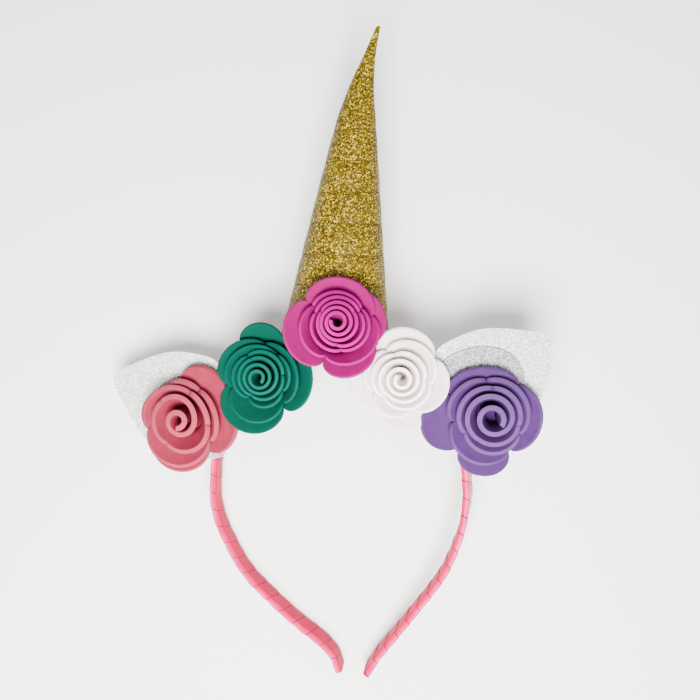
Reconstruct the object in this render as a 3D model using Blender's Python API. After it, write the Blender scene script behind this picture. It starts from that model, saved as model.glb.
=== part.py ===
"""Unicorn horn headband: a ribbon-wound band with a glitter foam horn, two ears and five foam roses.

Everything is built in the band's own frame, in metres: +X to the right as seen from the front,
+Y up towards the horn's tip, +Z out of the front, and z = 0 on the band's back edge.
An empty then lays the whole headband down as it comes to rest on a table: on the horn's rim,
the left leg's back edge and the left tip.
"""

import math

import bpy
from mathutils import Matrix, Vector

MM = 0.001
GAP = 0.3 * MM

# Driving dimensions
BAND_WIDTH = 10.0 * MM  # from the back edge to the front edge
BAND_THICKNESS = 2.9 * MM
ARCH_HALF_WIDTH = 57.3 * MM  # to the middle of the band's thickness
ARCH_RISE = 68.0 * MM  # from the widest place to the crown
ARCH_WIDEST_Y = -66.0 * MM
WRAP_PITCH = 8.0 * MM  # a turn of ribbon every 8 mm
WRAP_STEP = 0.25 * MM  # how far each turn stands over the one before

HORN_WALL = 2.0 * MM
HORN_BASE_Y = 0.2 * MM
HORN_LEAN = math.radians(5.9)
HORN_BASE_X = -1.0 * MM
HORN_CREASE_PITCH = 13.1 * MM
HORN_CREASE_START = 5.0 * MM  # at the back, where the thread begins
HORN_TURNS = 8
HORN_CAP = 126.0 * MM  # above the last crease the horn runs smooth to its point
HORN_CREASE_DEPTH = 0.35 * MM
HORN_CREASE_LEVEL = 1.1 * MM  # how far the hand-wound thread runs flatter in front than a true spiral

EAR_FOAM = 1.8 * MM
INNER_EAR_FOAM = 1.5 * MM
EAR_BOW = 0.0012  # rise of the sheet's sides, per metre squared of width, times a metre
THIN_FOAM = 1.2 * MM
PURPLE_FOAM = 1.9 * MM
CORAL_FOAM = 2.2 * MM

# How the headband lies: crown up, then left side down
LYING_PITCH = math.radians(6.736)
LYING_ROLL = math.radians(-6.894)

# Legs of the band, from the end of the arch to the tip: x, y and the twist of the front edge outwards
LEFT_LEG = [
    # x_mm, y_mm, twist_deg
    (-57.3, -70.0, 0.0),
    (-56.4, -78.5, 0.0),
    (-54.0, -86.5, 0.0),
    (-50.3, -94.5, 0.0),
    (-46.0, -102.5, 0.0),
    (-40.6, -110.0, 0.0),
    (-33.6, -117.0, 0.0),
    (-26.2, -124.0, 0.0),
    (-18.0, -131.0, 0.0),
    (-8.6, -138.2, 0.0),
    (-2.6, -144.6, 0.0),
    (0.3, -151.8, 0.0),
]
RIGHT_LEG = [
    (57.3, -66.0, 11.0),
    (56.8, -73.0, 9.0),
    (55.7, -80.5, 5.0),
    (53.6, -87.7, 1.0),
    (51.0, -95.0, 0.0),
    (47.4, -103.0, 0.0),
    (42.3, -111.0, 0.0),
    (36.6, -119.0, 0.0),
    (31.0, -126.5, 0.0),
    (24.0, -136.0, 0.0),
    (17.6, -144.5, 0.0),
    (12.8, -152.8, 0.0),
]

# Horn, along its axis from the base: radius, and how far the axis has drifted to the right
HORN_ROWS = [
    # along_mm, radius_mm, drift_mm
    (0.0, 23.3, 0.0),
    (93.0, 7.6, 0.0),
    (110.0, 3.7, 0.9),
    (122.0, 1.9, 2.4),
    (134.0, 0.7, 4.2),
]

# Ears: the sheet's edges above and below its axis, from the end that is glued to the band
EAR_ROWS = [
    # along_mm, above_mm, below_mm
    (-2.0, 8.0, 16.5),
    (2.5, 12.5, 19.5),
    (8.0, 20.5, 22.2),
    (14.0, 24.4, 23.8),
    (23.0, 23.8, 23.6),
    (33.0, 20.8, 20.4),
    (41.0, 15.5, 15.2),
    (48.0, 9.0, 9.0),
    (52.5, 4.4, 4.4),
    (55.0, 0.8, 0.8),
]
INNER_EAR_ROWS = [
    (-1.0, 5.0, 13.0),
    (4.0, 9.5, 16.0),
    (9.0, 15.5, 18.0),
    (14.0, 18.8, 19.0),
    (21.0, 18.0, 18.0),
    (29.0, 14.6, 14.6),
    (34.0, 10.2, 10.2),
    (37.0, 5.4, 5.4),
    (38.0, 2.0, 2.0),
]

# Roses: each row is one petal, from the outermost to the heart, which the strip passes clockwise
MAGENTA_PETALS = [
    # span_deg, reach_mm
    (81, 20.0),
    (86, 21.8),
    (107, 21.9),
    (128, 19.0),
    (125, 18.3),
    (106, 15.4),
    (113, 13.2),
    (120, 11.8),
    (120, 10.4),
    (130, 8.8),
    (140, 7.2),
    (150, 5.6),
    (160, 4.2),
    (170, 2.8),
]
GREEN_PETALS = [
    (72, 21.6),
    (108, 18.8),
    (113, 24.2),
    (115, 20.2),
    (126, 15.0),
    (110, 18.0),
    (149, 13.8),
    (90, 12.2),
    (85, 12.8),
    (115, 11.6),
    (120, 10.0),
    (120, 9.0),
    (130, 7.8),
    (140, 6.6),
    (150, 5.2),
    (170, 3.6),
]
WHITE_PETALS = [
    (83, 22.4),
    (97, 21.6),
    (104, 19.0),
    (93, 18.6),
    (75, 17.4),
    (88, 15.0),
    (136, 14.8),
    (119, 12.8),
    (120, 11.6),
    (110, 10.4),
    (120, 9.4),
    (130, 8.3),
    (130, 7.2),
    (140, 6.0),
    (150, 4.8),
    (180, 3.4),
]
PURPLE_PETALS = [
    (102, 24.8),
    (71, 29.0),
    (97, 21.0),
    (123, 20.4),
    (101, 20.6),
    (96, 18.2),
    (134, 15.2),
    (106, 15.8),
    (125, 13.6),
    (110, 11.4),
    (100, 12.0),
    (90, 10.8),
    (110, 9.4),
    (90, 8.6),
    (110, 7.4),
    (120, 6.2),
    (150, 4.4),
]
CORAL_PETALS = [
    (76, 21.8),
    (66, 21.6),
    (108, 23.4),
    (65, 19.8),
    (70, 19.2),
    (107, 16.4),
    (118, 19.4),
    (122, 15.4),
    (88, 12.4),
    (110, 13.8),
    (100, 11.0),
    (110, 9.4),
    (120, 8.2),
    (120, 6.6),
    (140, 4.6),
]


def clear_scene():
    for thing in list(bpy.data.objects):
        bpy.data.objects.remove(thing, do_unlink=True)


def material(name, colour, roughness, metallic=0.0):
    """A Principled material of one colour."""
    made = bpy.data.materials.new(name)
    made.use_nodes = True
    shader = made.node_tree.nodes["Principled BSDF"]
    shader.inputs["Base Color"].default_value = (*colour, 1.0)
    shader.inputs["Roughness"].default_value = roughness
    shader.inputs["Metallic"].default_value = metallic
    return made


def add_object(name, points, faces, finish, parent, sharp_deg=35):
    """One closed mesh as an object under the resting empty."""
    mesh = bpy.data.meshes.new(name)
    mesh.from_pydata([tuple(p) for p in points], [], faces)
    mesh.validate()
    mesh.materials.append(finish)
    mesh.shade_smooth()
    mesh.set_sharp_from_angle(angle=math.radians(sharp_deg))
    thing = bpy.data.objects.new(name, mesh)
    bpy.context.scene.collection.objects.link(thing)
    thing.parent = parent
    return thing


def loft(rings):
    """Points and faces of a body through closed rings of equal count, with a flat face at each end."""
    count = len(rings[0])
    points = [p for ring in rings for p in ring]
    faces = []
    for row in range(len(rings) - 1):
        for i in range(count):
            j = (i + 1) % count
            low, high = row * count, (row + 1) * count
            faces.append((low + i, low + j, high + j, high + i))
    faces.append(tuple(reversed(range(count))))
    last = (len(rings) - 1) * count
    faces.append(tuple(range(last, last + count)))
    return points, faces


def through(values, places, at):
    """Value at a place of a smooth curve through values at rising places, never past its neighbours."""
    at = min(max(at, places[0]), places[-1])
    k = 0
    while k < len(places) - 2 and at > places[k + 1]:
        k += 1

    def slope(i):
        if i == 0 or i == len(places) - 1:
            j = min(i, len(places) - 2)
            return (values[j + 1] - values[j]) / (places[j + 1] - places[j])
        return (values[i + 1] - values[i - 1]) / (places[i + 1] - places[i - 1])

    step = places[k + 1] - places[k]
    t = (at - places[k]) / step
    h00, h10 = 2 * t**3 - 3 * t**2 + 1, t**3 - 2 * t**2 + t
    h01, h11 = 3 * t**2 - 2 * t**3, t**3 - t**2
    return h00 * values[k] + h10 * step * slope(k) + h01 * values[k + 1] + h11 * step * slope(k + 1)


def band_route():
    """Points of the band's middle line from the left tip over the crown to the right tip, with twists."""
    left = [(x * MM, y * MM, math.radians(t)) for x, y, t in reversed(LEFT_LEG)]
    right = [(x * MM, y * MM, math.radians(t)) for x, y, t in RIGHT_LEG]
    steps = 12
    arch = []
    for k in range(1, steps):
        angle = math.pi * (k / steps - 0.5)
        x = ARCH_HALF_WIDTH * math.sin(angle)
        y = ARCH_WIDEST_Y + ARCH_RISE * math.cos(angle)
        twist = right[0][2] * max(0.0, math.sin(angle)) ** 4
        arch.append((x, y, twist))
    return left + arch + right


def band_sampler():
    """A function giving the band's middle, outward direction, tangent and twist at a length from the left tip."""
    route = band_route()
    places = [0.0]
    for a, b in zip(route, route[1:]):
        places.append(places[-1] + math.hypot(b[0] - a[0], b[1] - a[1]))
    xs, ys, twists = zip(*route)

    def sample(at):
        here = Vector((through(xs, places, at), through(ys, places, at), 0.0))
        nudge = 0.5 * MM
        ahead = Vector((through(xs, places, at + nudge), through(ys, places, at + nudge), 0.0))
        behind = Vector((through(xs, places, at - nudge), through(ys, places, at - nudge), 0.0))
        tangent = (ahead - behind).normalized()
        outward = Vector((-tangent.y, tangent.x, 0.0))
        return here, outward, tangent, through(twists, places, at)

    return sample, places[-1]


def band_section(raise_by):
    """The ribbon-wound section: (outward, front) offsets from the middle of the back edge."""
    half = BAND_THICKNESS / 2 + raise_by
    depth = BAND_WIDTH + 2 * raise_by
    corner = 0.9 * MM
    middle = BAND_WIDTH / 2
    low, high = middle - depth / 2, middle + depth / 2
    return [
        (half, low + corner),
        (half, high - corner),
        (half - corner, high),
        (corner - half, high),
        (-half, high - corner),
        (-half, low + corner),
        (corner - half, low),
        (half - corner, low),
    ]


def make_headband(finish, parent):
    """The band as one solid: every turn of ribbon starts a little proud of the one before."""
    sample, length = band_sampler()
    turns = round(length / WRAP_PITCH)
    pitch = length / turns
    step = 0.35 * MM
    rings = []
    for turn in range(turns):
        start, end = turn * pitch, (turn + 1) * pitch - step
        for at, raised in ((start, WRAP_STEP), (end, 0.0)):
            rings.append(band_ring(sample, at, raised))
    rings.append(band_ring(sample, length, 0.0))
    points, faces = loft(rings)
    return add_object("headband", points, faces, finish, parent, sharp_deg=50)


def band_ring(sample, at, raised):
    here, outward, tangent, twist = sample(at)
    turn = Matrix.Rotation(twist, 3, tangent)
    out, front = turn @ outward, turn @ Vector((0.0, 0.0, 1.0))
    middle = here + Vector((0.0, 0.0, BAND_WIDTH / 2))
    return [middle + out * a + front * (b - BAND_WIDTH / 2) for a, b in band_section(raised)]


def horn_surface(theta, along, inset=0.0):
    """A point of the horn in the band's frame; theta is 0 in front and turns to the right."""
    places, radii, drifts = zip(*HORN_ROWS)
    radius = through(radii, places, along / MM) * MM - inset
    drift = through(drifts, places, along / MM) * MM
    across = drift + radius * math.sin(theta)
    x = HORN_BASE_X + across * math.cos(HORN_LEAN) + along * math.sin(HORN_LEAN)
    y = HORN_BASE_Y + along * math.cos(HORN_LEAN) - across * math.sin(HORN_LEAN)
    return Vector((x, y, BAND_WIDTH / 2 + radius * math.cos(theta)))


def horn_rim(theta, inset=0.0):
    """The rim is cut level across the band, so the point slides along the axis to that height."""
    along = 0.0
    for _ in range(4):
        along -= horn_surface(theta, along, inset).y - HORN_BASE_Y
    point = horn_surface(theta, max(along, -6 * MM), inset)
    return Vector((point.x, HORN_BASE_Y, point.z))


def make_horn(finish, parent):
    """A hollow cone, open below, with a crease where a thread winds round it."""
    sides = 20
    levels = [(0.0, HORN_CREASE_DEPTH), (0.08, 0.0), (0.5, -0.2 * MM), (0.92, 0.0)]
    per_turn = len(levels)
    lines = [(turn + part, inset) for turn in range(HORN_TURNS) for part, inset in levels]
    lines.append((HORN_TURNS, HORN_CREASE_DEPTH))
    places, radii, _ = zip(*HORN_ROWS)
    points, faces = [], []
    for level, inset in lines:
        for side in range(sides):
            wound = side / sides
            theta = 2 * math.pi * wound + math.pi
            along = HORN_CREASE_START + HORN_CREASE_PITCH * (level + wound)
            shrink = min(1.0, through(radii, places, along / MM) / 8)
            along -= shrink * HORN_CREASE_LEVEL * math.sin(theta)
            points.append(horn_surface(theta, along, inset * shrink))

    def spot(line, side):
        return (line + per_turn, 0) if side == sides else (line, side)

    def index(line, side):
        line, side = spot(line, side)
        return line * sides + side

    count = len(lines)
    for line in range(count - 1):
        for side in range(sides):
            if side == sides - 1 and line + 1 + per_turn > count - 1:
                continue
            faces.append((index(line, side), index(line, side + 1), index(line + 1, side + 1), index(line + 1, side)))

    rim = len(points)
    points += [horn_rim(2 * math.pi * s / sides + math.pi) for s in range(sides)]
    for side in range(sides - 1):
        faces.append((rim + side, rim + side + 1, index(0, side + 1), index(0, side)))
    seam = [index(line, 0) for line in range(per_turn + 1)]
    faces.append((rim + sides - 1, rim, *seam, index(0, sides - 1)))

    cap = len(points)
    points += [horn_surface(2 * math.pi * s / sides + math.pi, HORN_CAP) for s in range(sides)]
    tip = len(points)
    points.append(horn_surface(0.0, places[-1] * MM, radii[-1] * MM))
    for side in range(sides - 1):
        faces.append((index(count - 1, side), index(count - 1, side + 1), cap + side + 1, cap + side))
    seam = [index(count - 1 - k, sides - 1) for k in range(per_turn + 1)]
    faces.append((index(count - 1, 0), cap, cap + sides - 1, *seam))
    for side in range(sides):
        faces.append((cap + side, cap + (side + 1) % sides, tip))

    inner = len(points)
    inner_rings = (None, 45.0 * MM, 88.0 * MM)
    for along in inner_rings:
        for side in range(sides):
            theta = 2 * math.pi * side / sides + math.pi
            if along is None:
                points.append(horn_rim(theta, HORN_WALL))
            else:
                points.append(horn_surface(theta, along, HORN_WALL))
    for ring in range(len(inner_rings) - 1):
        low, high = inner + ring * sides, inner + (ring + 1) * sides
        for side in range(sides):
            j = (side + 1) % sides
            faces.append((low + j, low + side, high + side, high + j))
    apex = len(points)
    top_along = 100.0 * MM
    points.append(horn_surface(0.0, top_along, through(radii, places, top_along / MM) * MM))
    high = inner + (len(inner_rings) - 1) * sides
    for side in range(sides):
        j = (side + 1) % sides
        faces.append((high + j, high + side, apex))
        faces.append((rim + j, rim + side, inner + side, inner + j))
    return add_object("horn", points, faces, finish, parent)


def make_ear(name, rows, foam, seat, direction_deg, back_z, finish, parent):
    """A leaf of foam sheet whose sides rise a little, glued down at its wide end."""
    places, above, below = zip(*rows)
    steps, columns = 16, 4
    axis = Vector((math.cos(math.radians(direction_deg)), math.sin(math.radians(direction_deg)), 0.0))
    across = Vector((-axis.y, axis.x, 0.0))
    mirrored = axis.x < 0
    rings = []
    for k in range(steps + 1):
        share = math.sin(0.5 * math.pi * k / steps)
        along = places[0] + (places[-1] - places[0]) * share
        top, bottom = through(above, places, along) * MM, -through(below, places, along) * MM
        if mirrored:
            top, bottom = -bottom, -top
        offsets = [bottom + (top - bottom) * c / columns for c in range(columns + 1)]
        middle = Vector((*seat, back_z)) + axis * along * MM
        lower = [middle + across * w + Vector((0, 0, EAR_BOW * w * w / MM)) for w in offsets]
        upper = [p + Vector((0, 0, foam)) for p in reversed(lower)]
        rings.append(lower + upper)
    points, faces = loft(rings)
    return add_object(name, points, faces, finish, parent)


def rose_sections(petals, foam, height, rim_rise, start_deg):
    """Sections of a scalloped strip rolled into a rose, in the rose's own frame with its foot at z = 0."""
    total = sum(span for span, _ in petals)
    starts = [sum(span for span, _ in petals[:k]) for k in range(len(petals) + 1)]
    middles = [(a + b) / 2 for a, b in zip(starts, starts[1:])]
    reaches = [reach * MM for _, reach in petals]
    heart = 1.0 * MM
    pitch = foam + 0.42 * MM
    sections = []
    for k, (span, reach) in enumerate(petals):
        cuts = 6 if reach > 12 else 4
        for cut in range(cuts + (1 if k == len(petals) - 1 else 0)):
            u = -math.cos(math.pi * cut / cuts)
            wound = starts[k] + span * (u + 1) / 2
            progress = wound / total
            foot = heart + pitch * (total - wound) / 360
            out = through(reaches, middles, wound)
            rise = rim_rise + (height - rim_rise) * progress**0.7
            notch = 0.62 + 0.28 * min(1.0, 1.6 * progress)
            cut_at = notch + (1 - notch) * math.sqrt(max(0.0, 1 - u * u))
            sections.append(strip_section(math.radians(start_deg - wound), foot, out, rise, cut_at, foam))
    return sections


def strip_section(direction, foot, reach, rise, cut_at, foam):
    """One section of the strip: upright at its foot, then leaning out to the petal's edge."""
    reach = max(reach, foot + 0.2 * MM)
    corners = [(foot, 0.0), (foot, 0.5 * rise), (foot + 0.4 * (reach - foot), 0.95 * rise), (reach, rise)]
    levels = 3
    inner, outer = [], []
    for level in range(levels + 1):
        t = cut_at * level / levels
        weights = ((1 - t) ** 3, 3 * t * (1 - t) ** 2, 3 * t * t * (1 - t), t**3)
        r = sum(w * c[0] for w, c in zip(weights, corners))
        z = sum(w * c[1] for w, c in zip(weights, corners))
        slopes = (3 * (1 - t) ** 2, 6 * t * (1 - t), 3 * t * t)
        dr = sum(s * (b[0] - a[0]) for s, a, b in zip(slopes, corners, corners[1:]))
        dz = sum(s * (b[1] - a[1]) for s, a, b in zip(slopes, corners, corners[1:]))
        size = math.hypot(dr, dz)
        inner.append((r, z))
        outer.append((r + foam * dz / size, max(0.0, z - foam * dr / size)))
    ring = outer + inner[::-1]
    return [Vector((r * math.cos(direction), r * math.sin(direction), z)) for r, z in ring]


def make_rose(name, petals, foam, height, rim_rise, start_deg, foot, tilt_right_deg, tilt_up_deg, finish, parent):
    rings = rose_sections(petals, foam, height, rim_rise, start_deg)
    points, faces = loft(rings)
    turn = Matrix.Rotation(math.radians(tilt_right_deg), 3, "Y")
    turn = turn @ Matrix.Rotation(math.radians(-tilt_up_deg), 3, "X")
    origin = Vector(foot)
    points = [origin + turn @ p for p in points]
    return add_object(name, points, faces, finish, parent, sharp_deg=50)


def lay_down(rest):
    """Turn the headband to how it lies, then put the origin at the middle of its box, on the table."""
    turn = Matrix.Rotation(LYING_PITCH, 4, "X") @ Matrix.Rotation(LYING_ROLL, 4, "Y")
    corners = [turn @ v.co for child in rest.children for v in child.data.vertices]
    lows = [min(c[k] for c in corners) for k in range(3)]
    highs = [max(c[k] for c in corners) for k in range(3)]
    shift = Vector((-(lows[0] + highs[0]) / 2, -(lows[1] + highs[1]) / 2, -lows[2]))
    rest.matrix_world = Matrix.Translation(shift) @ turn


def main():
    clear_scene()
    rest = bpy.data.objects.new("rest_pose", None)
    bpy.context.scene.collection.objects.link(rest)

    ribbon = material("pink satin ribbon", (0.92, 0.16, 0.24), 0.4)
    gold = material("gold glitter foam", (0.47, 0.32, 0.06), 0.4, 0.5)
    glitter_white = material("white glitter foam", (0.78, 0.78, 0.77), 0.6)
    coral = material("coral foam", (0.62, 0.12, 0.14), 0.75)
    green = material("green foam", (0.0, 0.26, 0.18), 0.75)
    magenta = material("magenta foam", (0.72, 0.06, 0.36), 0.75)
    white = material("white foam", (0.86, 0.85, 0.83), 0.75)
    purple = material("purple foam", (0.24, 0.13, 0.43), 0.75)

    make_headband(ribbon, rest)
    make_horn(gold, rest)

    ear_z = BAND_WIDTH + WRAP_STEP + GAP
    inner_z = ear_z + EAR_FOAM + GAP
    make_ear("ear_left", EAR_ROWS, EAR_FOAM, (-50 * MM, -36 * MM), 158.9, ear_z, glitter_white, rest)
    make_ear("ear_right", EAR_ROWS, EAR_FOAM, (47 * MM, -30 * MM), 37.7, ear_z, glitter_white, rest)
    make_ear("inner_ear_left", INNER_EAR_ROWS, INNER_EAR_FOAM, (-47 * MM, -38.5 * MM), 158.9, inner_z, glitter_white, rest)
    make_ear("inner_ear_right", INNER_EAR_ROWS, INNER_EAR_FOAM, (47 * MM, -30 * MM), 37.7, inner_z, glitter_white, rest)

    on_band = BAND_WIDTH + WRAP_STEP + GAP
    on_ears = inner_z + INNER_EAR_FOAM + 0.8 * MM
    make_rose("rose_coral", CORAL_PETALS, CORAL_FOAM, 17 * MM, 5.0 * MM, 100,
              (-66.2 * MM, -33.6 * MM, on_ears), 0, 0, coral, rest)
    make_rose("rose_green", GREEN_PETALS, THIN_FOAM, 16 * MM, 5.5 * MM, 128,
              (-32.0 * MM, -13.0 * MM, on_band), 0, 0, green, rest)
    make_rose("rose_white", WHITE_PETALS, THIN_FOAM, 16 * MM, 5.0 * MM, -45,
              (29.3 * MM, -13.7 * MM, on_band), 0, 0, white, rest)
    make_rose("rose_purple", PURPLE_PETALS, PURPLE_FOAM, 18 * MM, 4.5 * MM, -35,
              (66.4 * MM, -28.3 * MM, on_ears), 0, 0, purple, rest)
    make_rose("rose_magenta", MAGENTA_PETALS, THIN_FOAM, 16 * MM, 4.5 * MM, 56,
              (2.2 * MM, 9.3 * MM, 27.3 * MM), 6.3, 9.9, magenta, rest)
    lay_down(rest)


main()
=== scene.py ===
"""Looks of the unicorn horn headband: a satin-wound band, a glitter foam horn and ears, five foam roses.

Every piece is worked out in the band's own frame, as in the part's source: +X to the right as seen
from the front, +Y up towards the horn's tip, +Z out of the front, z = 0 on the band's back edge.
One matrix then lays the pieces down as the headband rests on the table.
"""

import math

import bpy
from mathutils import Matrix, Vector


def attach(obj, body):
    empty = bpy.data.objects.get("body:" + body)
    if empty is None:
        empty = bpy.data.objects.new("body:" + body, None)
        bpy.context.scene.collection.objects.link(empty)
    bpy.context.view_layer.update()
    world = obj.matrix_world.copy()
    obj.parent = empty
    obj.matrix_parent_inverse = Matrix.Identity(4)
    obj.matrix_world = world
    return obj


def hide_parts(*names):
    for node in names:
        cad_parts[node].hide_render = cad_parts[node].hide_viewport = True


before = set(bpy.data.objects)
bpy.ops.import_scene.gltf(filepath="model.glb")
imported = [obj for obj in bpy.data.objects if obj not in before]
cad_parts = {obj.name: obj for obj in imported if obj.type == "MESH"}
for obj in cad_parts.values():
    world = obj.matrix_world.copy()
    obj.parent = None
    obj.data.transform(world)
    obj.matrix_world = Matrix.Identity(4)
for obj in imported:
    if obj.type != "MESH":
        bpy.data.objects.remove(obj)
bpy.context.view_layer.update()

MM = 0.001

# How the headband lies, and where the middle of its crown then is
LYING_PITCH = math.radians(6.736)
LYING_ROLL = math.radians(-6.894)
CROWN_AT = Vector((6.52, 11.19, 18.14)) * MM

# Camera: straight over the headband
CAMERA_HEIGHT = 376 * MM
CAMERA_OFFSET = Vector((4.24, -4.29, 0)) * MM  # from the crown
CAMERA_ANGLE = math.radians(47.27)

# Band
BAND_WIDTH = 10.0 * MM
BAND_THICKNESS = 2.9 * MM
BAND_CORNER = 0.9 * MM
BAND_MIDDLE = Vector((0.0, 0.0, BAND_WIDTH / 2))
BAND_STEPS = 1100
CORNER_STEPS = 4
FLAT_STEPS = [2, 7, 2, 7]  # on the section's front edge, inner face, back edge and outer face
OUTER_FIRST, FRONT_LAST = 27, 4  # the section's faces from which, and up to which, the ribbon gets the lighter satin, a painted highlight
ARCH_HALF_WIDTH = 57.3 * MM
ARCH_RISE = 68.0 * MM
ARCH_WIDEST_Y = -66.0 * MM
ARCH_STEPS = 12
WRAP_PITCH = 8.0 * MM
WRAP_STEP = 0.2 * MM
WRAP_RISE = (0.0, 0.035)  # shares of a turn between which the ribbon's surface steps up
WRAP_FALL = (0.1, 1.0)  # and between which it comes down again
RIBBON_STEP_SHADE = 0.22 * MM  # radius of the dark line along the ribbon's edge, painted shade where each turn steps down to the next
LINE_SIDES = 6  # of that line, and of the horn's thread

# Horn
HORN_WALL = 2.0 * MM
HORN_BASE_Y = 0.2 * MM
HORN_LEAN = math.radians(5.9)
HORN_BASE_X = -1.0 * MM
HORN_CREASE_PITCH = 13.1 * MM
HORN_CREASE_START = 5.0 * MM
HORN_TURNS = 8
HORN_CREASE_DEPTH = 0.28 * MM
HORN_CREASE_REACH = 1.3 * MM
HORN_CREASE_POWER = 1.4
HORN_CREASE_LEVEL = 1.1 * MM  # how far the thread strays from an even helix
HORN_FULL_CREASE = 8.0  # radius in mm under which the crease gets shallower
HORN_SWELL = 0.05 * MM
HORN_TIP = 0.4 * MM  # beyond the last row
HORN_INSIDE = [10 * MM, 30 * MM, 50 * MM, 70 * MM, 88 * MM]  # places of the inner wall's rings
HORN_INSIDE_TIP = 100.0  # in mm, where the inner wall closes
HORN_SIDES = 96
HORN_STEPS = 260
THREAD_RADIUS = 0.2 * MM
THREAD_STEPS = 64  # in each turn

# Ears
EAR_FOAM = 1.8 * MM
INNER_EAR_FOAM = 1.5 * MM
EAR_BACK = 10.55 * MM  # height of the sheet's back over the band's back edge
INNER_EAR_BACK = 12.65 * MM
EAR_BOW = 0.0012  # mm of rise for each square mm, by the distance from the ear's axis
EAR_STEPS = 90
EAR_COLUMNS = 24

# Cut edges of the ears and petals
EDGE_ROUND = 0.18 * MM
EDGE_STEPS = 3

# Roses
PURPLE_FOAM = 2.2 * MM
CORAL_FOAM = 2.4 * MM
THIN_FOAM = 1.5 * MM
GLUE = 0.5 * MM
ROSE_HEART = 0.5 * MM
PURPLE_HEART = 1.6 * MM
ROSE_ON_EARS = INNER_EAR_BACK + INNER_EAR_FOAM + 0.8 * MM
ROSE_BASE = (0.1 * MM, 0.9 * MM)  # the round of foam under the rose, from its lower to its upper face
ROSE_BASE_SHARE = 1.03  # of the rolled strip's radius
ROSE_BASE_SIDES = 48
RIM_RISE_POWER = 0.9
RIM_LEAN_OUT = math.radians(22)  # how steeply the strip ends at the outermost petal
RIM_LEAN_IN = math.radians(78)  # and in the heart
RIM_LEAN_POWER = 0.6
NOTCH_OUT = 0.42  # share of the strip, from foot to rim, that a notch leaves at the outermost petal
NOTCH_GAIN = 0.57  # what a notch leaves more in the heart
NOTCH_PACE = 1.5  # how fast it gets there along the strip
LONG_PETAL = 12  # mm of reach over which a petal gets more sections
LONG_CUTS, SHORT_CUTS = 26, 18
STRIP_LEVELS = 10
STRIP_HOLD = 0.45  # share over which the strip keeps its direction at its foot and at its rim

# Floor, room and light
FLOOR_HALF = 3.0
FLOOR_COLOUR = (0.75, 0.75, 0.742, 1.0)
ROOM_COLOUR = (0.96, 0.98, 1.0, 1.0)
ROOM_STRENGTH = 1.15
WINDOW_AT = Vector((-0.01, -0.21, 0.5))
WINDOW_SIZE = (0.3, 0.28)
WINDOW_POWER = 18.5
WINDOW_COLOUR = (1.0, 0.985, 0.96)

# Legs of the band, from the end of the arch to the tip: x, y and the twist of the front edge outwards
LEFT_LEG = [
    # x_mm, y_mm, twist_deg
    (-57.3, -70.0, 0.0),
    (-56.4, -78.5, 0.0),
    (-54.0, -86.5, 0.0),
    (-50.3, -94.5, 0.0),
    (-46.0, -102.5, 0.0),
    (-40.6, -110.0, 0.0),
    (-33.6, -117.0, 0.0),
    (-26.2, -124.0, 0.0),
    (-18.0, -131.0, 0.0),
    (-8.6, -138.2, 0.0),
    (-2.6, -144.6, 0.0),
    (0.3, -151.8, 0.0),
]
RIGHT_LEG = [
    (57.3, -66.0, 11.0),
    (56.8, -73.0, 9.0),
    (55.7, -80.5, 5.0),
    (53.6, -87.7, 1.0),
    (51.0, -95.0, 0.0),
    (47.4, -103.0, 0.0),
    (42.3, -111.0, 0.0),
    (36.6, -119.0, 0.0),
    (31.0, -126.5, 0.0),
    (24.0, -136.0, 0.0),
    (17.6, -144.5, 0.0),
    (12.8, -152.8, 0.0),
]

# Horn, along its axis from the base: radius, and how far the axis has drifted to the right
HORN_ROWS = [
    # along_mm, radius_mm, drift_mm
    (0.0, 23.3, -0.7),
    (93.0, 7.6, -1.1),
    (110.0, 3.7, -0.2),
    (122.0, 1.9, 1.7),
    (134.0, 0.7, 4.1),
]
HORN_SPREAD = [
    # along_mm, wider_mm: the soft cone is pressed a little flat, so it is wider than deep
    (0.0, 0.7),
    (93.0, 1.1),
    (110.0, 1.3),
    (122.0, 0.6),
    (134.0, 0.1),
]

# Ears: the sheet's edges above and below its axis, from the end that is glued to the band
EAR_ROWS = [
    # along_mm, above_mm, below_mm
    (-2.0, 8.0, 16.5),
    (2.5, 12.5, 19.5),
    (8.0, 20.5, 22.2),
    (14.0, 24.4, 23.8),
    (23.0, 23.8, 23.6),
    (33.0, 20.8, 20.4),
    (41.0, 15.5, 15.2),
    (48.0, 9.0, 9.0),
    (52.5, 4.4, 4.4),
    (55.0, 0.8, 0.8),
]
INNER_EAR_ROWS = [
    (-1.0, 5.0, 13.0),
    (4.0, 9.5, 16.0),
    (9.0, 15.5, 18.0),
    (14.0, 18.8, 19.0),
    (21.0, 18.0, 18.0),
    (29.0, 14.6, 14.6),
    (34.0, 10.2, 10.2),
    (37.0, 5.4, 5.4),
    (38.0, 2.0, 2.0),
]

# Roses: each row is one petal, from the outermost to the heart, which the strip passes clockwise
MAGENTA_PETALS = [
    # span_deg, reach_mm
    (81, 19.4),
    (86, 21.8),
    (107, 21.9),
    (128, 18.6),
    (125, 17.4),
    (106, 15.0),
    (110, 12.6),
    (115, 12.6),
    (125, 10.4),
    (125, 10.2),
    (120, 10.2),
    (125, 7.4),
    (110, 7.8),
    (120, 7.2),
    (130, 5.8),
    (120, 5.4),
    (120, 4.8),
    (120, 3.6),
    (120, 3.1),
    (120, 2.4),
    (103, 1.7),
]
GREEN_PETALS = [
    (72, 22.4),
    (116, 21.6),
    (105, 25.6),
    (109, 18.2),
    (140, 15.2),
    (103, 20.0),
    (149, 13.8),
    (90, 12.2),
    (85, 12.8),
    (115, 11.4),
    (120, 10.4),
    (120, 9.6),
    (130, 8.4),
    (120, 7.6),
    (130, 6.4),
    (130, 5.6),
    (130, 4.4),
    (130, 3.6),
    (130, 2.6),
    (120, 1.6),
]
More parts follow.
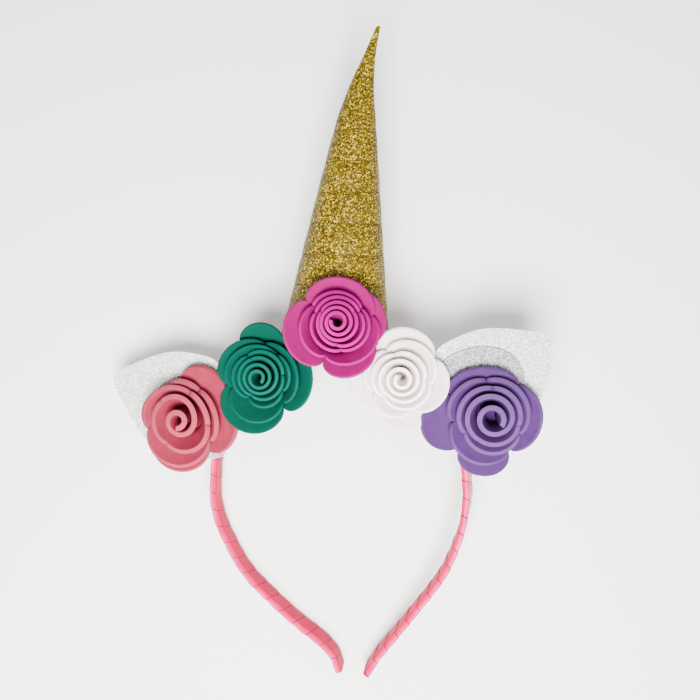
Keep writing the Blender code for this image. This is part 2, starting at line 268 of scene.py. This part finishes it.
WHITE_PETALS = [
    (70, 23.2),
    (105, 21.8),
    (104, 20.6),
    (106, 19.4),
    (75, 16.8),
    (88, 15.2),
    (136, 15.6),
    (119, 12.8),
    (120, 11.6),
    (110, 10.4),
    (120, 9.4),
    (130, 8.2),
    (130, 6.9),
    (140, 5.6),
    (150, 4.3),
    (160, 3.0),
    (120, 1.6),
]
PURPLE_PETALS = [
    (64, 27.2),
    (72, 29.6),
    (110, 18.8),
    (112, 20.0),
    (102, 21.2),
    (94, 16.6),
    (136, 14.2),
    (108, 15.2),
    (125, 12.4),
    (110, 10.6),
    (100, 10.8),
    (90, 9.6),
    (110, 8.0),
    (100, 6.6),
    (110, 5.2),
    (120, 4.0),
    (110, 3.1),
]
CORAL_PETALS = [
    (76, 23.0),
    (84, 22.6),
    (95, 24.2),
    (77, 18.4),
    (66, 15.4),
    (107, 13.2),
    (118, 21.0),
    (122, 15.4),
    (88, 10.0),
    (110, 13.4),
    (100, 11.2),
    (62, 9.6),
    (95, 6.0),
    (100, 5.2),
    (110, 3.6),
    (120, 2.6),
    (110, 1.6),
]

EARS = [
    # piece, node, seat_x_mm, seat_y_mm, direction_deg
    ("glitter_ear_left", "ear_left", -50, -36, 158.9),
    ("glitter_ear_right", "ear_right", 47, -30, 37.7),
]
INNER_EARS = [
    ("glitter_inner_ear_left", "inner_ear_left", -47, -38.5, 158.9),
    ("glitter_inner_ear_right", "inner_ear_right", 47, -30, 37.7),
]

# The view lightens and greys strong colours, so the strong ones are darker here than the foam itself
FOAM_AND_EDGE_HIGHLIGHT_COLOURS = {
    # on the faces, on a cut edge; the cut edge's colour is lighter, a painted highlight where the edges
    # catch the light
    "coral": ((0.20, 0.016, 0.036), (0.27, 0.036, 0.060)),
    "green": ((0.0, 0.040, 0.026), (0.0, 0.062, 0.045)),
    "white": ((0.76, 0.655, 0.64), (0.97, 0.95, 0.94)),
    "purple": ((0.050, 0.018, 0.088), (0.078, 0.036, 0.128)),
    "magenta": ((0.165, 0.0, 0.066), (0.24, 0.0, 0.115)),
}
ROSES = {
    "coral": dict(
        petals=CORAL_PETALS, foam=CORAL_FOAM, heart=ROSE_HEART, height=17 * MM, rim_rise=3.4 * MM,
        start_deg=100, foot=(-65.85 * MM, -32.4 * MM, ROSE_ON_EARS)),
    "green": dict(
        petals=GREEN_PETALS, foam=THIN_FOAM, heart=ROSE_HEART, height=17.5 * MM, rim_rise=9.8 * MM,
        start_deg=128, foot=(-31.45 * MM, -13.5 * MM, EAR_BACK)),
    "white": dict(
        petals=WHITE_PETALS, foam=THIN_FOAM, heart=ROSE_HEART, height=17.5 * MM, rim_rise=8.0 * MM,
        start_deg=-50, foot=(28.55 * MM, -13.4 * MM, EAR_BACK)),
    "purple": dict(
        petals=PURPLE_PETALS, foam=PURPLE_FOAM, heart=PURPLE_HEART, height=18 * MM, rim_rise=2.6 * MM,
        start_deg=-66, foot=(66.3 * MM, -27.85 * MM, ROSE_ON_EARS)),
    "magenta": dict(
        petals=MAGENTA_PETALS, foam=THIN_FOAM, heart=ROSE_HEART, height=16 * MM, rim_rise=4.5 * MM,
        start_deg=56, foot=(2.4 * MM, 9.2 * MM, 27.3 * MM), tilt_right_deg=6.3, tilt_up_deg=9.9),
}

LAID = Matrix.Translation(CROWN_AT) @ Matrix.Rotation(LYING_PITCH, 4, "X")
LAID = LAID @ Matrix.Rotation(LYING_ROLL, 4, "Y")


def through(values, places, at):
    """Value at a place of a smooth curve through values at rising places; past the ends it stays level."""
    at = min(max(at, places[0]), places[-1])
    k = 0
    while k < len(places) - 2 and at > places[k + 1]:
        k += 1

    def slope(i):
        if i == 0 or i == len(places) - 1:
            j = min(i, len(places) - 2)
            return (values[j + 1] - values[j]) / (places[j + 1] - places[j])
        return (values[i + 1] - values[i - 1]) / (places[i + 1] - places[i - 1])

    step = places[k + 1] - places[k]
    t = (at - places[k]) / step
    h00, h10 = 2 * t**3 - 3 * t**2 + 1, t**3 - 2 * t**2 + t
    h01, h11 = 3 * t**2 - 2 * t**3, t**3 - t**2
    return h00 * values[k] + h10 * step * slope(k) + h01 * values[k + 1] + h11 * step * slope(k + 1)


def smooth(low, high, at):
    """0 up to low, 1 from high on, and an even S between them."""
    t = min(max((at - low) / (high - low), 0.0), 1.0)
    return t * t * (3 - 2 * t)


def quarter(step):
    """The angle of a step of a rounded edge, from 0 to a quarter turn."""
    return 0.5 * math.pi * step / EDGE_STEPS


# Materials


class Nodes:
    """A material's node tree, built by short calls; the shader is its Principled BSDF."""

    def __init__(self, name):
        self.material = bpy.data.materials.new(name)
        self.material.use_nodes = True
        self.tree = self.material.node_tree
        self.shader = self.tree.nodes["Principled BSDF"]
        self.spot = self.add("ShaderNodeTexCoord").outputs["Object"]

    def add(self, kind, **values):
        node = self.tree.nodes.new(kind)
        for key, value in values.items():
            setattr(node, key, value)
        return node

    def join(self, source, target):
        self.tree.links.new(source, target)

    def put(self, socket, value):
        """Set a socket to a constant or link it to another socket."""
        if isinstance(value, bpy.types.NodeSocket):
            self.join(value, socket)
        else:
            socket.default_value = value

    def noise(self, scale, detail=2.0):
        node = self.add("ShaderNodeTexNoise")
        self.join(self.spot, node.inputs["Vector"])
        node.inputs["Scale"].default_value = scale
        node.inputs["Detail"].default_value = detail
        return node.outputs

    def cells(self, scale, spot):
        node = self.add("ShaderNodeTexVoronoi")
        self.join(spot, node.inputs["Vector"])
        node.inputs["Scale"].default_value = scale
        return node.outputs["Color"]

    def channel(self, colour, index):
        node = self.add("ShaderNodeSeparateColor")
        self.join(colour, node.inputs["Color"])
        return node.outputs[index]

    def maths(self, kind, a, b):
        node = self.add("ShaderNodeMath", operation=kind)
        self.put(node.inputs[0], a)
        self.put(node.inputs[1], b)
        return node.outputs[0]

    def vector(self, kind, a, b=(0.0, 0.0, 0.0), scale=None):
        node = self.add("ShaderNodeVectorMath", operation=kind)
        self.put(node.inputs[0], a)
        self.put(node.inputs[1], b)
        if scale is not None:
            self.put(node.inputs["Scale"], scale)
        return node.outputs[0]

    def spread(self, value, low, high):
        """0 up to low, 1 from high on."""
        node = self.add("ShaderNodeMapRange", clamp=True)
        self.put(node.inputs["Value"], value)
        node.inputs["From Min"].default_value = low
        node.inputs["From Max"].default_value = high
        return node.outputs["Result"]

    def mix(self, share, a, b):
        """Colour a where the share is 0 and b where it is 1. The colour sockets are known by number."""
        node = self.add("ShaderNodeMix", data_type="RGBA")
        self.put(node.inputs[0], share)
        self.put(node.inputs[6], (*a, 1.0))
        self.put(node.inputs[7], (*b, 1.0))
        return node.outputs[2]

    def ramp(self, value, stops):
        node = self.add("ShaderNodeValToRGB")
        while len(node.color_ramp.elements) < len(stops):
            node.color_ramp.elements.new(1.0)
        for element, (place, colour) in zip(node.color_ramp.elements, stops):
            element.position = place
            element.color = (*colour, 1.0)
        self.put(node.inputs["Fac"], value)
        return node.outputs["Color"]

    def bump(self, height, strength, distance):
        node = self.add("ShaderNodeBump")
        node.inputs["Strength"].default_value = strength
        node.inputs["Distance"].default_value = distance
        self.put(node.inputs["Height"], height)
        return node.outputs["Normal"]

    def finish(self, **sockets):
        """Set the shader's sockets, named with underscores for spaces, and hand over the material."""
        for name, value in sockets.items():
            self.put(self.shader.inputs[name.replace("_", " ")], value)
        return self.material


def foam_material(name, colour, edge=False):
    """Craft foam sheet: fine closed cells, faintly uneven colour. A cut edge shows open cells; the lighter
    colour handed in for it is a painted highlight.
    """
    made = Nodes(name)
    deep = tuple(c * 0.86 for c in colour)
    cloud = made.noise(scale=260, detail=3)["Fac"]
    tint = made.mix(made.spread(cloud, low=0.35, high=0.7), deep, colour)
    cell_scale, cell_depth = (5200, 0.35) if edge else (3600, 0.18)
    pores = made.noise(cell_scale)["Fac"]
    normal = made.bump(pores, strength=cell_depth, distance=0.05 * MM)
    return made.finish(Base_Color=tint, Roughness=0.75, Normal=normal, Specular_IOR_Level=0.05)


def glitter_material(name, tones, flake, tilt):
    """Glitter set in foam: each flake is a cell with its own tone and its own tilt."""
    made = Nodes(name)
    warp = made.noise(scale=0.4 / flake)["Color"]
    spot = made.vector("ADD", made.spot, made.vector("SCALE", warp, scale=0.6 * flake))
    coarse, fine = made.cells(1 / flake, spot), made.cells(1.9 / flake, spot)
    coarse_tone = made.maths("MULTIPLY", made.channel(coarse, 0), 0.6)
    fine_tone = made.maths("MULTIPLY", made.channel(fine, 1), 0.4)
    tint = made.ramp(made.maths("ADD", coarse_tone, fine_tone), tones)
    middle = (0.5, 0.5, 0.5)
    coarse_tilt = made.vector("SCALE", made.vector("SUBTRACT", coarse, middle), scale=tilt)
    fine_tilt = made.vector("SCALE", made.vector("SUBTRACT", fine, middle), scale=0.6 * tilt)
    both = made.vector("ADD", coarse_tilt, fine_tilt)
    surface = made.add("ShaderNodeNewGeometry").outputs["Normal"]
    normal = made.vector("NORMALIZE", made.vector("ADD", surface, both))
    return made.finish(Base_Color=tint, Roughness=0.5, Normal=normal, Specular_IOR_Level=0.08)


def satin_material(name, deep, light, gloss):
    """Pink satin ribbon: a fine weave, a faintly uneven colour and a soft gloss."""
    made = Nodes(name)
    cloud = made.noise(scale=180)["Fac"]
    tint = made.mix(made.spread(cloud, low=0.3, high=0.75), deep, light)
    weave = made.noise(scale=2600)["Fac"]
    normal = made.bump(weave, strength=0.2, distance=0.04 * MM)
    return made.finish(Base_Color=tint, Roughness=0.38, Normal=normal, Specular_IOR_Level=gloss)


# Meshes


def add_piece(name, points, faces, materials, nodes=(), kinds=None, sharp_deg=40):
    """One mesh laid down with the headband, riding on its body."""
    mesh = bpy.data.meshes.new(name)
    mesh.from_pydata([LAID @ p for p in points], [], faces)
    for one in materials:
        mesh.materials.append(one)
    if kinds:
        mesh.polygons.foreach_set("material_index", kinds)
    mesh.shade_smooth()
    mesh.set_sharp_from_angle(angle=math.radians(sharp_deg))
    mesh.validate()
    piece = bpy.data.objects.new(name, mesh)
    bpy.context.scene.collection.objects.link(piece)
    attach(piece, "root")
    if nodes:
        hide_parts(*nodes)


def loft(rings, kind_of=None):
    """Points, faces and their kinds for a body through closed rings, with a flat face at each end."""
    count = len(rings[0])
    points = [p for ring in rings for p in ring]
    faces, kinds = [], []
    for row in range(len(rings) - 1):
        low, high = row * count, (row + 1) * count
        for i in range(count):
            j = (i + 1) % count
            faces.append((low + i, low + j, high + j, high + i))
            kinds.append(kind_of(i) if kind_of else 0)
    faces.append(tuple(reversed(range(count))))
    last = (len(rings) - 1) * count
    faces.append(tuple(range(last, last + count)))
    ends = max(kinds)
    return points, faces, kinds + [ends, ends]


def line_ring(middle, out, across, radius):
    """One section of a thin round line, from the side that out points to and round towards across."""
    angles = [2 * math.pi * k / LINE_SIDES for k in range(LINE_SIDES)]
    return [middle + radius * (out * math.cos(angle) + across * math.sin(angle)) for angle in angles]


# Band


def band_route():
    """The band from tip to tip in x, y and twist: the left leg, an arch over the crown, the right leg."""
    left = [(x * MM, y * MM, math.radians(t)) for x, y, t in reversed(LEFT_LEG)]
    right = [(x * MM, y * MM, math.radians(t)) for x, y, t in RIGHT_LEG]
    arch = []
    for k in range(1, ARCH_STEPS):
        angle = math.pi * (k / ARCH_STEPS - 0.5)
        x = ARCH_HALF_WIDTH * math.sin(angle)
        y = ARCH_WIDEST_Y + ARCH_RISE * math.cos(angle)
        twist = right[0][2] * max(0.0, math.sin(angle)) ** 4
        arch.append((x, y, twist))
    return left + arch + right


def band_sampler():
    """The band's length, and what gives its middle, outward direction, tangent and twist at a place."""
    route = band_route()
    places = [0.0]
    for a, b in zip(route, route[1:]):
        places.append(places[-1] + math.hypot(b[0] - a[0], b[1] - a[1]))
    xs, ys, twists = zip(*route)

    def sample(at):
        here = Vector((through(xs, places, at), through(ys, places, at), 0.0))
        nudge = 0.5 * MM
        ahead = Vector((through(xs, places, at + nudge), through(ys, places, at + nudge), 0.0))
        behind = Vector((through(xs, places, at - nudge), through(ys, places, at - nudge), 0.0))
        tangent = (ahead - behind).normalized()
        outward = Vector((-tangent.y, tangent.x, 0.0))
        return here, outward, tangent, through(twists, places, at)

    return sample, places[-1]


def band_outline():
    """The section as (outward, front) points with rounded corners, from the outer face over the front."""
    half, width, corner = BAND_THICKNESS / 2, BAND_WIDTH, BAND_CORNER
    centres = [
        (half - corner, width - corner, 0),
        (corner - half, width - corner, 90),
        (corner - half, corner, 180),
        (half - corner, corner, 270),
    ]
    points = []
    for (cx, cy, start), (nx, ny, _), flat in zip(centres, centres[1:] + centres[:1], FLAT_STEPS):
        for k in range(CORNER_STEPS + 1):
            angle = math.radians(start + 90 * k / CORNER_STEPS)
            points.append((cx + corner * math.cos(angle), cy + corner * math.sin(angle)))
        turn = math.radians(start + 90)
        ax, ay = points[-1]
        bx, by = nx + corner * math.cos(turn), ny + corner * math.sin(turn)
        for k in range(1, flat):
            points.append((ax + (bx - ax) * k / flat, ay + (by - ay) * k / flat))
    return points


def shares_round(outline):
    """How far round the section each point lies, in shares of the way; the last is the start again."""
    ways = [0.0]
    for a, b in zip(outline, outline[1:] + outline[:1]):
        ways.append(ways[-1] + math.hypot(b[0] - a[0], b[1] - a[1]))
    return [way / ways[-1] for way in ways]


def painted_highlight_face(i):
    """1 from the section's outer face round to the middle of its front edge, which get the lighter satin:
    a painted highlight.
    """
    return 1 if i <= FRONT_LAST or i >= OUTER_FIRST else 0


def make_headband(satin, painted_highlight_satin, step_shade):
    """The band, wound with ribbon on one long helix: each turn's edge stands over the turn before."""
    sample, length = band_sampler()
    outline = band_outline()
    shares = shares_round(outline)
    turns = round(length / WRAP_PITCH)
    pitch = length / turns
    rings = []
    for k in range(BAND_STEPS + 1):
        at = length * k / BAND_STEPS
        here, outward, tangent, twist = sample(at)
        turn = Matrix.Rotation(twist, 3, tangent)
        out, front = turn @ outward, turn @ Vector((0.0, 0.0, 1.0))
        middle = here + BAND_MIDDLE
        ring = []
        for (a, b), share in zip(outline, shares):
            phase = (at / pitch + share) % 1.0
            raised = WRAP_STEP * (smooth(*WRAP_RISE, phase) - smooth(*WRAP_FALL, phase))
            grow = 1 + 2 * raised / BAND_THICKNESS
            grow_wide = 1 + 2 * raised / BAND_WIDTH
            ring.append(middle + out * a * grow + front * (b - BAND_WIDTH / 2) * grow_wide)
        rings.append(ring)
    points, faces, kinds = loft(rings, painted_highlight_face)
    add_piece("satin_headband", points, faces, [satin, painted_highlight_satin], ["headband"], kinds, sharp_deg=60)
    make_ribbon_step_shade(sample, length, turns, outline, shares, step_shade)


def make_ribbon_step_shade(sample, length, turns, outline, shares, step_shade):
    """A thin dark line on the step from each turn of the ribbon down to the next: painted shade under the
    step.
    """
    sides = list(zip(outline, outline[1:] + outline[:1], shares, shares[1:]))
    rings = []
    for back in range(turns):
        for (a, b), (c, d), share, after in sides:
            for part in (0.0, 0.5):
                wound = share + (after - share) * part
                here, outward, tangent, twist = sample(length - length / turns * (back + wound))
                turn = Matrix.Rotation(twist, 3, tangent)
                front = Vector((0.0, 0.0, b + (d - b) * part - BAND_WIDTH / 2))
                side = turn @ (outward * (a + (c - a) * part) + front)
                rings.append(line_ring(here + BAND_MIDDLE + side, side.normalized(), tangent, RIBBON_STEP_SHADE))
    points, faces, _ = loft(rings)
    add_piece("ribbon_step_painted_shade", points, faces, [step_shade])


# Horn


def horn_surface(theta, along, inset=0.0):
    """A point of the horn in the band's frame; theta is 0 in front and turns to the right."""
    places, radii, drifts = zip(*HORN_ROWS)
    radius = through(radii, places, along / MM) * MM - inset
    drift = through(drifts, places, along / MM) * MM
    spots, spreads = zip(*HORN_SPREAD)
    half = radius + through(spreads, spots, along / MM) * MM
    across = drift + half * math.sin(theta)
    x = HORN_BASE_X + across * math.cos(HORN_LEAN) + along * math.sin(HORN_LEAN)
    y = HORN_BASE_Y + along * math.cos(HORN_LEAN) - across * math.sin(HORN_LEAN)
    return Vector((x, y, BAND_WIDTH / 2 + radius * math.cos(theta)))


def horn_rim(theta, inset=0.0):
    """The rim is cut level across the band, so the point slides along the axis to that height."""
    along = 0.0
    for _ in range(4):
        along -= horn_surface(theta, along, inset).y - HORN_BASE_Y
    return along


def crease_place(level, wound):
    """Where the thread lies along the horn, at a turn and a share of a turn from the back."""
    places, radii, _ = zip(*HORN_ROWS)
    along = HORN_CREASE_START + HORN_CREASE_PITCH * (level + wound)
    shrink = min(1.0, through(radii, places, along / MM) / HORN_FULL_CREASE)
    return along - shrink * HORN_CREASE_LEVEL * math.sin(2 * math.pi * wound + math.pi), shrink


def horn_inset(wound, along):
    """How far the thread pulls the foam in, and how the foam swells between the turns."""
    near, shrink = math.inf, 1.0
    for level in range(-1, HORN_TURNS + 1):
        place, size = crease_place(level, wound)
        if not 0 <= level + wound <= HORN_TURNS:
            continue
        away = abs(along - place)
        if away < near:
            near, shrink = away, size
    groove = HORN_CREASE_DEPTH * math.exp(-((near / HORN_CREASE_REACH) ** HORN_CREASE_POWER))
    swell = HORN_SWELL * smooth(0.0, HORN_CREASE_PITCH / 2, near)
    return shrink * (groove - swell)


def make_horn(gold):
    """A hollow cone of glitter foam, pinched in where the thread winds up it."""
    sides, rows = HORN_SIDES, HORN_STEPS
    end = HORN_ROWS[-1][0] * MM
    points, faces = [], []
    for row in range(rows + 1):
        share = row / rows
        for side in range(sides):
            wound = side / sides
            theta = 2 * math.pi * wound + math.pi
            low = horn_rim(theta)
            along = low + (end - low) * share
            points.append(horn_surface(theta, along, horn_inset(wound, along)))
    for row in range(rows):
        low, high = row * sides, (row + 1) * sides
        for side in range(sides):
            j = (side + 1) % sides
            faces.append((low + side, low + j, high + j, high + side))
    tip = len(points)
    points.append(horn_surface(0.0, end + HORN_TIP, HORN_ROWS[-1][1] * MM))
    for side in range(sides):
        faces.append((tip - sides + side, tip - sides + (side + 1) % sides, tip))
    inner = len(points)
    heights = [None] + HORN_INSIDE  # the first ring is the rim, which isn't at one height
    for along in heights:
        for side in range(sides):
            theta = 2 * math.pi * side / sides + math.pi
            place = horn_rim(theta, HORN_WALL) if along is None else along
            points.append(horn_surface(theta, place, HORN_WALL))
    for ring in range(len(heights) - 1):
        low, high = inner + ring * sides, inner + (ring + 1) * sides
        for side in range(sides):
            j = (side + 1) % sides
            faces.append((low + j, low + side, high + side, high + j))
    apex = len(points)
    places, radii, _ = zip(*HORN_ROWS)
    on_axis = through(radii, places, HORN_INSIDE_TIP) * MM
    points.append(horn_surface(0.0, HORN_INSIDE_TIP * MM, on_axis))
    high = inner + (len(heights) - 1) * sides
    for side in range(sides):
        j = (side + 1) % sides
        faces.append((high + j, high + side, apex))
        faces.append((j, side, inner + side, inner + j))
    add_piece("glitter_horn", points, faces, [gold], ["horn"])


def make_horn_thread(thread):
    """The gold thread in the horn's crease."""
    up = Vector((math.sin(HORN_LEAN), math.cos(HORN_LEAN), 0.0))
    rings = []
    steps = THREAD_STEPS * HORN_TURNS
    for k in range(steps + 1):
        turn = HORN_TURNS * k / steps
        wound = turn % 1.0
        along, _ = crease_place(int(turn) if k < steps else HORN_TURNS, wound)
        theta = 2 * math.pi * wound + math.pi
        middle = horn_surface(theta, along, horn_inset(wound, along))
        out = (horn_surface(theta, along, -1 * MM) - horn_surface(theta, along)).normalized()
        rings.append(line_ring(middle, out, -up, THREAD_RADIUS))
    points, faces, _ = loft(rings)
    add_piece("horn_thread", points, faces, [thread])


# Ears


def make_ear(name, rows, foam, seat, direction_deg, back_z, materials, node):
    """A leaf of glitter foam whose sides rise a little, glued down at its wide end."""
    places, above, below = zip(*rows)
    axis = Vector((math.cos(math.radians(direction_deg)), math.sin(math.radians(direction_deg)), 0.0))
    across = Vector((-axis.y, axis.x, 0.0))
    mirrored = axis.x < 0
    rings = []
    for k in range(EAR_STEPS + 1):
        share = math.sin(0.5 * math.pi * k / EAR_STEPS)
        along = places[0] + (places[-1] - places[0]) * share
        top, bottom = through(above, places, along) * MM, -through(below, places, along) * MM
        if mirrored:
            top, bottom = -bottom, -top
        middle = Vector((*seat, back_z)) + axis * along * MM
        edge = min(EDGE_ROUND, 0.2 * (top - bottom))

        def spot(w, up):
            return middle + across * w + Vector((0, 0, EAR_BOW * w * w / MM + up))

        flat = top - bottom - 2 * edge
        ring = [spot(bottom + edge + flat * c / EAR_COLUMNS, 0.0) for c in range(EAR_COLUMNS + 1)]
        for angle in map(quarter, range(1, EDGE_STEPS)):
            ring.append(spot(top - edge + edge * math.sin(angle), edge - edge * math.cos(angle)))
        for angle in map(quarter, range(EDGE_STEPS + 1)):
            ring.append(spot(top - edge + edge * math.cos(angle), foam - edge + edge * math.sin(angle)))
        upper = len(ring) - 1
        for c in range(1, EAR_COLUMNS + 1):
            ring.append(spot(top - edge - flat * c / EAR_COLUMNS, foam))
        for angle in map(quarter, range(1, EDGE_STEPS + 1)):
            ring.append(spot(bottom + edge - edge * math.sin(angle), foam - edge + edge * math.cos(angle)))
        for angle in map(quarter, range(1, EDGE_STEPS)):
            ring.append(spot(bottom + edge - edge * math.cos(angle), edge - edge * math.sin(angle)))
        rings.append(ring)

    def kind(i):
        return 0 if upper <= i < upper + EAR_COLUMNS else 1

    points, faces, kinds = loft(rings, kind)
    add_piece(name, points, faces, materials, [node], kinds)


# Roses


def rose_sections(petals, foam, heart, height, rim_rise, start_deg):
    """Sections of a scalloped strip rolled into a rose, in the rose's own frame with its foot at z = 0."""
    total = sum(span for span, _ in petals)
    starts = [sum(span for span, _ in petals[:k]) for k in range(len(petals) + 1)]
    middles = [(a + b) / 2 for a, b in zip(starts, starts[1:])]
    reaches = [reach * MM for _, reach in petals]
    pitch = foam + GLUE
    sections = []
    for k, (span, reach) in enumerate(petals):
        cuts = LONG_CUTS if reach > LONG_PETAL else SHORT_CUTS
        for cut in range(cuts + (1 if k == len(petals) - 1 else 0)):
            u = -math.cos(math.pi * cut / cuts)
            wound = starts[k] + span * (u + 1) / 2
            progress = wound / total
            foot = heart + pitch * (total - wound) / 360
            out = through(reaches, middles, wound)
            rise = rim_rise + (height - rim_rise) * progress**RIM_RISE_POWER
            notch = NOTCH_OUT + NOTCH_GAIN * min(1.0, NOTCH_PACE * progress)
            cut_at = notch + (1 - notch) * math.sqrt(max(0.0, 1 - u * u))
            lean = RIM_LEAN_OUT + (RIM_LEAN_IN - RIM_LEAN_OUT) * progress**RIM_LEAN_POWER
            direction = math.radians(start_deg - wound)
            sections.append(strip_section(direction, foot, out, rise, lean, cut_at, foam))
    return sections


def strip_section(direction, foot, reach, rise, lean, cut_at, foam):
    """One section of the strip: upright at its foot, then leaning out to the petal's square-cut edge."""
    reach = max(reach, foot + 0.2 * MM)
    hold = STRIP_HOLD * math.hypot(reach - foot, rise)
    shoulder = (reach - hold * math.cos(lean), rise - hold * math.sin(lean))
    corners = [(foot, 0.0), (foot, STRIP_HOLD * rise), shoulder, (reach, rise)]
    inner, outer = [], []
    for level in range(STRIP_LEVELS + 1):
        t = cut_at * level / STRIP_LEVELS
        weights = ((1 - t) ** 3, 3 * t * (1 - t) ** 2, 3 * t * t * (1 - t), t**3)
        r = sum(w * c[0] for w, c in zip(weights, corners))
        z = sum(w * c[1] for w, c in zip(weights, corners))
        slopes = (3 * (1 - t) ** 2, 6 * t * (1 - t), 3 * t * t)
        dr = sum(s * (b[0] - a[0]) for s, a, b in zip(slopes, corners, corners[1:]))
        dz = sum(s * (b[1] - a[1]) for s, a, b in zip(slopes, corners, corners[1:]))
        size = math.hypot(dr, dz)
        along = (dr / size, dz / size)
        inner.append((r, z))
        outer.append((r + foam * along[1], max(0.0, z - foam * along[0])))
    ar, az = along
    b = EDGE_ROUND
    (ir, iz), (er, ez) = inner.pop(), outer.pop()
    rim = []
    for angle in map(quarter, range(EDGE_STEPS + 1)):
        back, side = b * (1 - math.sin(angle)), b * (1 - math.cos(angle))
        rim.append((er - ar * back - az * side, ez - az * back + ar * side))
    for angle in map(quarter, range(EDGE_STEPS + 1)):
        back, side = b * (1 - math.cos(angle)), b * (1 - math.sin(angle))
        rim.append((ir - ar * back + az * side, iz - az * back - ar * side))
    ring = outer + rim + inner[::-1]
    return [Vector((r * math.cos(direction), r * math.sin(direction), z)) for r, z in ring]


def edge_highlight_kind(i):
    """1 on the cut edge and on the nearest step of its rounding to either side, which get the lighter edge
    colour as a painted highlight, 0 on the strip's faces.
    """
    first = STRIP_LEVELS + EDGE_STEPS - 1
    return 1 if first <= i < first + 3 else 0


def make_rose(name, node, slot, materials, petals, foam, heart, height, rim_rise, start_deg, foot,
              tilt_right_deg=0, tilt_up_deg=0):
    """A rolled rose on its round base, turned and set down on its foot."""
    points, faces, kinds = loft(rose_sections(petals, foam, heart, height, rim_rise, start_deg), edge_highlight_kind)
    wide = ROSE_BASE_SHARE * (heart + (foam + GLUE) * sum(span for span, _ in petals) / 360)
    angles = [2 * math.pi * k / ROSE_BASE_SIDES for k in range(ROSE_BASE_SIDES)]
    base = []
    for z in ROSE_BASE:
        base.append([Vector((wide * math.cos(angle), wide * math.sin(angle), z)) for angle in angles])
    base_points, base_faces, base_kinds = loft(base)
    faces += [tuple(len(points) + i for i in face) for face in base_faces]
    points += base_points
    kinds += base_kinds
    turn = Matrix.Rotation(math.radians(tilt_right_deg), 3, "Y")
    turn = turn @ Matrix.Rotation(math.radians(-tilt_up_deg), 3, "X")
    origin = Vector(foot)
    points = [origin + turn @ p for p in points]
    add_piece(name, points, faces, materials, [node], kinds, sharp_deg=55)


# The stage


def make_camera():
    """Looks straight down, beside the middle of the crown."""
    data = bpy.data.cameras.new("camera")
    data.angle = CAMERA_ANGLE
    camera = bpy.data.objects.new("camera", data)
    at = CROWN_AT + CAMERA_OFFSET
    camera.location = (at.x, at.y, CAMERA_HEIGHT)
    bpy.context.scene.collection.objects.link(camera)
    bpy.context.scene.camera = camera


def make_window_light():
    """One large light over the side of the band's tips, aimed at the origin."""
    data = bpy.data.lights.new("window_light", "AREA")
    data.shape = "RECTANGLE"
    data.size, data.size_y = WINDOW_SIZE
    data.energy = WINDOW_POWER
    data.color = WINDOW_COLOUR
    light = bpy.data.objects.new("window_light", data)
    light.location = WINDOW_AT
    light.rotation_euler = (-WINDOW_AT).to_track_quat("-Z", "Y").to_euler()
    bpy.context.scene.collection.objects.link(light)


def make_stage():
    """The pale floor, the soft light of the room and the window's light."""
    mesh = bpy.data.meshes.new("floor")
    half = FLOOR_HALF
    corners = [(-half, -half, 0), (half, -half, 0), (half, half, 0), (-half, half, 0)]
    mesh.from_pydata(corners, [], [(0, 1, 2, 3)])
    paper = Nodes("pale_floor").finish(Base_Color=FLOOR_COLOUR, Roughness=0.9)
    mesh.materials.append(paper)
    floor = bpy.data.objects.new("floor", mesh)
    bpy.context.scene.collection.objects.link(floor)

    world = bpy.data.worlds.new("soft_room")
    world.use_nodes = True
    world.node_tree.nodes["Background"].inputs["Color"].default_value = ROOM_COLOUR
    world.node_tree.nodes["Background"].inputs["Strength"].default_value = ROOM_STRENGTH
    bpy.context.scene.world = world
    make_window_light()


def main():
    make_camera()
    make_stage()

    satin = satin_material("pink_satin_ribbon", (0.38, 0.0, 0.035), (0.46, 0.0, 0.060), gloss=0.02)
    # a lighter, glossier copy of the satin for the ribbon's front and outer faces: the lighter colour is a
    # painted highlight
    painted_highlight_satin = satin_material("pink_satin_painted_highlight", (0.42, 0.004, 0.10), (0.56, 0.045, 0.20), gloss=0.12)
    # a dark copy of the satin for that line: painted shade
    step_shade = satin_material("pink_satin_painted_step_shade", (0.10, 0.0, 0.008), (0.13, 0.0, 0.012), gloss=0.02)
    gold_tones = [
        (0.2, (0.014, 0.007, 0.0)),
        (0.45, (0.060, 0.037, 0.0)),
        (0.7, (0.11, 0.073, 0.001)),
        (0.88, (0.55, 0.42, 0.05)),
    ]
    white_tones = [(0.1, (0.22, 0.215, 0.21)), (0.5, (0.37, 0.365, 0.355)), (0.9, (0.95, 0.94, 0.92))]
    grey_tones = [(0.1, (0.07, 0.065, 0.08)), (0.5, (0.15, 0.14, 0.16)), (0.9, (0.60, 0.59, 0.60))]
    gold = glitter_material("gold_glitter_foam", gold_tones, flake=0.55 * MM, tilt=0.45)
    thread = foam_material("gold_thread", (0.050, 0.030, 0.002))
    white = glitter_material("white_glitter_foam", white_tones, flake=0.35 * MM, tilt=0.35)
    grey = glitter_material("white_glitter_inner", grey_tones, flake=0.35 * MM, tilt=0.35)
    back = foam_material("white_foam_back", (0.80, 0.80, 0.79))

    make_headband(satin, painted_highlight_satin, step_shade)
    make_horn(gold)
    make_horn_thread(thread)
    for name, node, x, y, direction in EARS:
        make_ear(name, EAR_ROWS, EAR_FOAM, (x * MM, y * MM), direction, EAR_BACK, [white, back], node)
    for name, node, x, y, direction in INNER_EARS:
        seat = (x * MM, y * MM)
        make_ear(name, INNER_EAR_ROWS, INNER_EAR_FOAM, seat, direction, INNER_EAR_BACK, [grey, back], node)
    for colour, rose in ROSES.items():
        face, cut = FOAM_AND_EDGE_HIGHLIGHT_COLOURS[colour]
        sheet = foam_material(colour + "_foam", face)
        # the roses' cut edges get a lighter colour: a painted highlight
        edge = foam_material(colour + "_foam_edge_painted_highlight", cut, edge=True)
        make_rose("foam_rose_" + colour, "rose_" + colour, colour + "_foam", [sheet, edge], **rose)


main()
